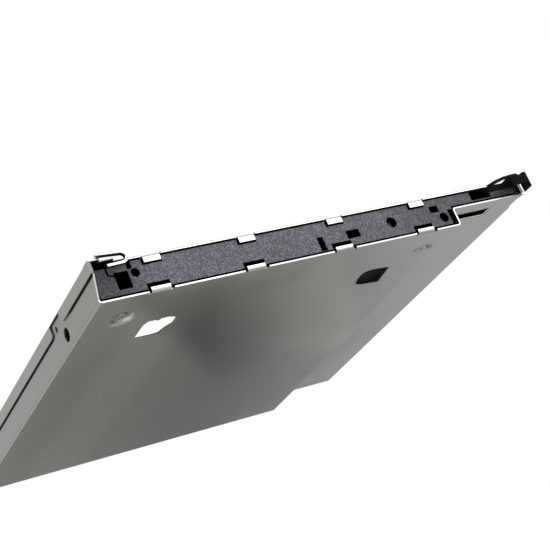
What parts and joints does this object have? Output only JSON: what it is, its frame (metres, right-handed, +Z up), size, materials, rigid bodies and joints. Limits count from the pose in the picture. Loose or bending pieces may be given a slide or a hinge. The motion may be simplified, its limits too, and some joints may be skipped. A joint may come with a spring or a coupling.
{
  "type": "laptop drive caddy",
  "caption": "Flat folded steel caddy that holds a 2.5 inch drive in a laptop's slim optical bay, with a plastic front bar, drive socket and rear plug.",
  "frame": {"origin": "lower left front corner of the case, where the planes of the pan's left side, front edge and flat bottom meet", "axes": "+X along the front edge to the right, +Y from the front into the case and the way it slides into a laptop, +Z up from the flat bottom to the cover"},
  "size_m": [0.128, 0.1305, 0.0108],
  "materials": {
    "pan_steel": "zinc-coated sheet, satin with fine grain",
    "cover_steel": "zinc-coated sheet, satin with fine grain",
    "rail_steel": "zinc-coated sheet, satin",
    "bar_plastic": "fine textured black",
    "catch_plastic": "smooth black, slightly glossy",
    "board_laminate": "green solder mask",
    "insulator_film": "thin black film",
    "standoff_steel": "turned steel",
    "screw_steel": "nickel-plated",
    "capacitor_body": "matt ceramic",
    "socket_plastic": "black moulded plastic",
    "plug_plastic": "black moulded plastic",
    "contact_metal": "gold-plated"
  },
  "bodies": {
    "root": {"bottom_pan": "pan_steel", "top_cover": "cover_steel", "front_bar": "bar_plastic", "side_catch": "catch_plastic", "bay_rail": "rail_steel", "circuit_board": "board_laminate", "insulator_sheet": "insulator_film", "board_standoffs": "standoff_steel", "board_screws": "screw_steel", "capacitors": "capacitor_body", "drive_socket": "socket_plastic", "socket_signal_contacts": "contact_metal", "socket_power_contacts": "contact_metal", "rear_plug": "plug_plastic", "plug_signal_contacts": "contact_metal", "plug_power_contacts": "contact_metal", "bar_screws": "screw_steel", "cover_posts": "standoff_steel", "cover_screws": "screw_steel"}
  },
  "joints": []
}
